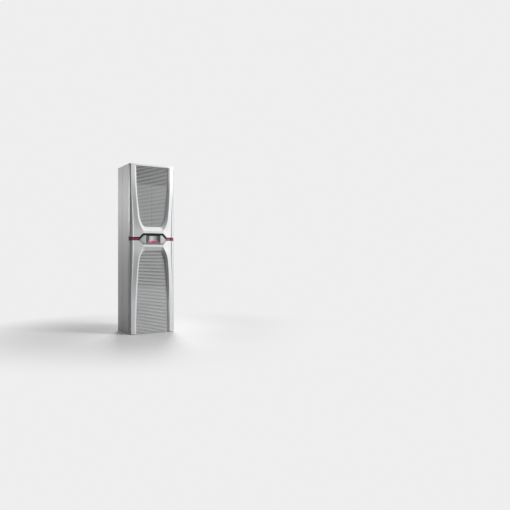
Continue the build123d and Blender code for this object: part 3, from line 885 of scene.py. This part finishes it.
# %% [markdown]
# ## The strip behind the seam
# Two sheets close the middle of the upper grille, and their seam shows as a thin dark line. A dark
# strip behind it is painted shade: it stands for the shade inside the unit, so no light from the back
# comes through. It takes the dark finish of the foam seal. A flat plane would do for the front view, but
# the strip has a thickness. So it is a long block with its edges rounded, and the pins of the mains
# socket are made by the same two helpers.

# %% Seam strip
SEAM_SHADE_STRIP = (12.0, 1.0, 402.0)
SEAM_PLACE = (0.0, -150.3, 1208.0)
SEAM_ROUNDING = 0.3
BLOCK_SEGMENTS = 2


def add_block(bm, size, middle):
    """A block of a size with its middle at a place, both in millimetres."""
    verts = bmesh.ops.create_cube(bm, size=1.0)["verts"]
    bmesh.ops.scale(bm, verts=verts, vec=Vector(size) * MM)
    bmesh.ops.translate(bm, verts=verts, vec=Vector(middle) * MM)


def bevel_edges(bm, edges, offset, segments):
    """Round some edges of a mesh, with the offset in the mesh's own units."""
    bmesh.ops.bevel(bm, geom=edges, offset=offset, offset_type="OFFSET", segments=segments,
                    profile=0.5, affect="EDGES", clamp_overlap=True, material=-1)


bm = bmesh.new()
add_block(bm, SEAM_SHADE_STRIP, SEAM_PLACE)
bevel_edges(bm, bm.edges[:], SEAM_ROUNDING * MM, BLOCK_SEGMENTS)
# The dark strip is painted shade for the inside of the unit behind the seam.
piece_from(bm, "upper_backing_seam_shade_strip", "seal_rubber")
print("seam strip:", SEAM_SHADE_STRIP, "mm")

# %% [markdown]
# ## The screws of the rear panel
# Pan head screws with a cross recess hold the rear panel. A head is a short cylinder. Its rim is
# bevelled into a dome, its top is inset, the corners of the inner face are drawn in to a cross, and the
# cross is pushed down. A boolean could cut the cross as well, but on something this small a few pushed
# faces are lighter and cleaner. The head is made once, in millimetres and along +Z, and then placed.

# %% Screws
REAR_Y = 192.5
SCREW_X = 197.0
SCREW_HEIGHTS = (150, 400, 650, 950, 1200, 1450)
HEAD_R = 4.2
HEAD_HIGH = 2.4
HEAD_SIDES = 24
HEAD_DOME = 1.3
DOME_SEGMENTS = 3
CROSS_RIM = 0.7
CROSS_DEEP = 1.3
CROSS_TAPER = 0.7
CROSS_ARM = 0.38
CAP_CORNERS = 8


def along_y(x, y, z):
    """Places a shape that was made in millimetres along +Z so that it stands out of the back."""
    return (Matrix.Translation(Vector((x, y, z)) * MM) @ Matrix.Rotation(math.radians(-90), 4, "X")
            @ Matrix.Scale(MM, 4))


def screw_head():
    """A bmesh of one pan head with a cross recess, in millimetres, its seat at z = 0."""
    bm = bmesh.new()
    verts = bmesh.ops.create_cone(bm, cap_ends=True, segments=HEAD_SIDES, radius1=HEAD_R,
                                  radius2=HEAD_R, depth=HEAD_HIGH)["verts"]
    bmesh.ops.translate(bm, verts=verts, vec=(0, 0, HEAD_HIGH / 2))
    rim = [e for e in bm.edges if all(v.co.z > HEAD_HIGH - HAIR_MM for v in e.verts)]
    bevel_edges(bm, rim, HEAD_DOME, DOME_SEGMENTS)
    caps = [f for f in bm.faces if len(f.verts) > CAP_CORNERS]
    top = max(caps, key=lambda f: (f.calc_center_median().z, len(f.verts)))
    bmesh.ops.inset_individual(bm, faces=[top], thickness=CROSS_RIM, depth=0.0)
    for vert in top.verts:
        reach = 1 - CROSS_ARM + CROSS_ARM * math.cos(4 * math.atan2(vert.co.y, vert.co.x))
        vert.co.x *= reach
        vert.co.y *= reach
    pushed = bmesh.ops.extrude_discrete_faces(bm, faces=[top])["faces"][0].verts[:]
    bmesh.ops.translate(bm, verts=pushed, vec=(0, 0, -CROSS_DEEP))
    bmesh.ops.scale(bm, verts=pushed, vec=(CROSS_TAPER, CROSS_TAPER, 1.0))
    return bm


bm = bmesh.new()
for side in (-1, 1):
    for height in SCREW_HEIGHTS:
        one = screw_head()
        one.transform(along_y(side * SCREW_X, REAR_Y, height))
        mesh = bpy.data.meshes.new("one_screw")
        one.to_mesh(mesh)
        one.free()
        bm.from_mesh(mesh)
        bpy.data.meshes.remove(mesh)
screws = piece_from(bm, "rear_panel_screws", "zinc_steel")
screws.data.polygons.foreach_set("use_smooth", [False] * len(screws.data.polygons))
print("screws:", 2 * len(SCREW_HEIGHTS), "faces:", len(screws.data.polygons))

# %% [markdown]
# ## The pins of the mains socket
# The mains socket in the back has a row of flat plated pins that stand up from its floor. Each could be
# an object of its own, but they never move apart. So they are blocks in one mesh, and all of them are
# rounded in one go.

# %% Socket pins
SOCKET_FLOOR_Y = 165.5
SOCKET_Z = 1100.0
PIN_SIZE = (1.6, 11.0, 5.0)
PIN_PITCH = 11.0
PIN_COUNT = 7
PIN_ROUNDING = 0.35

bm = bmesh.new()
for i in range(PIN_COUNT):
    x = (i - (PIN_COUNT - 1) / 2) * PIN_PITCH
    add_block(bm, PIN_SIZE, (x, SOCKET_FLOOR_Y + PIN_SIZE[1] / 2, SOCKET_Z))
bevel_edges(bm, bm.edges[:], PIN_ROUNDING * MM, BLOCK_SEGMENTS)
piece_from(bm, "power_socket_pins", "zinc_steel")
print("pins:", PIN_COUNT)

# %% [markdown]
# ## The threads of the fixing inserts
# The bolts that hold the unit to its cabinet go into eight threaded inserts. A true thread is a helix.
# Deep in a bore of eight millimetres nobody can tell it from a stack of rings, so the thread is a
# zigzag profile that is spun once round the bore. The profile is closed behind the crests, which makes
# each thread a solid ring with no open seam.

# %% Threads
BOLT_X = 185.0
BOLT_HEIGHTS = (80, 560, 1040, 1520)
THREAD_R = 4.15
THREAD_DEEP = 0.45
THREAD_PITCH = 1.25
THREAD_TURNS = 9
THREAD_SUNK = 2.4
THREAD_ROOT = 0.1
THREAD_STEPS = 20

zigzag = [(THREAD_R - THREAD_DEEP * (k % 2), REAR_Y - THREAD_SUNK - THREAD_PITCH * k / 2)
          for k in range(2 * THREAD_TURNS)]
profile = zigzag + [(THREAD_R + THREAD_ROOT, y) for y in (zigzag[-1][1], zigzag[0][1])]

bm = bmesh.new()
for side in (-1, 1):
    for height in BOLT_HEIGHTS:
        points = [bm.verts.new(((side * BOLT_X + r) * MM, y * MM, height * MM)) for r, y in profile]
        loop = [bm.edges.new(pair) for pair in zip(points, points[1:] + points[:1])]
        bmesh.ops.spin(bm, geom=points + loop, cent=Vector((side * BOLT_X, 0, height)) * MM,
                       axis=(0, 1, 0), angle=math.radians(360), steps=THREAD_STEPS, use_merge=True)
bmesh.ops.remove_doubles(bm, verts=bm.verts, dist=HAIR_MM * MM)
bmesh.ops.recalc_face_normals(bm, faces=bm.faces)
threads = piece_from(bm, "fixing_insert_threads", "zinc_steel")
print("threads:", 2 * len(BOLT_HEIGHTS), "faces:", len(threads.data.polygons))
